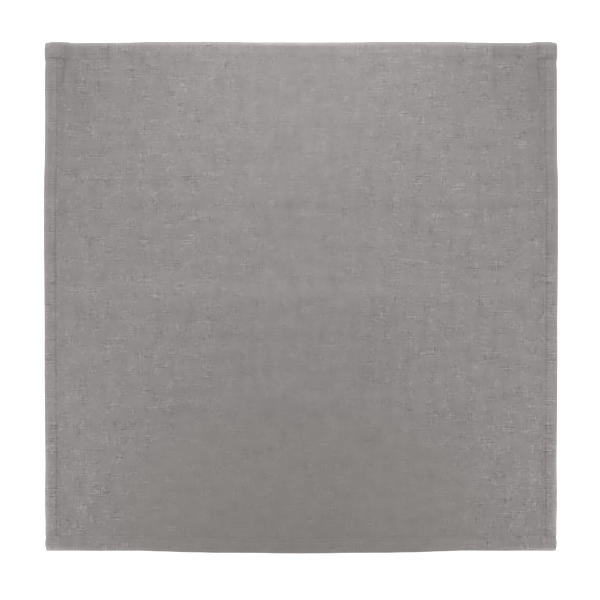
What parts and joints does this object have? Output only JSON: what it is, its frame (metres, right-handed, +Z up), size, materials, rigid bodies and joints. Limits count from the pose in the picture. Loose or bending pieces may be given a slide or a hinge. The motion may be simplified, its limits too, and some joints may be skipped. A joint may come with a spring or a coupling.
{
  "type": "cloth napkin laid out flat",
  "caption": "Plain grey linen table napkin laid out flat, with a stitched double-turned hem on each side; it lies loose on a table or tray.",
  "frame": {"origin": "middle of the underside, on the surface that the cloth lies on", "axes": "+Z up out of the surface, through the cloth; +Y to the end whose hem lies over both side hems; +X to the right seen from above"},
  "size_m": [0.51, 0.5078, 0.0026],
  "materials": {
    "linen": "matte plain-woven mid-grey linen with slubby yarns, in both directions"
  },
  "bodies": {
    "root": {"napkin_cloth": "linen"}
  },
  "joints": []
}
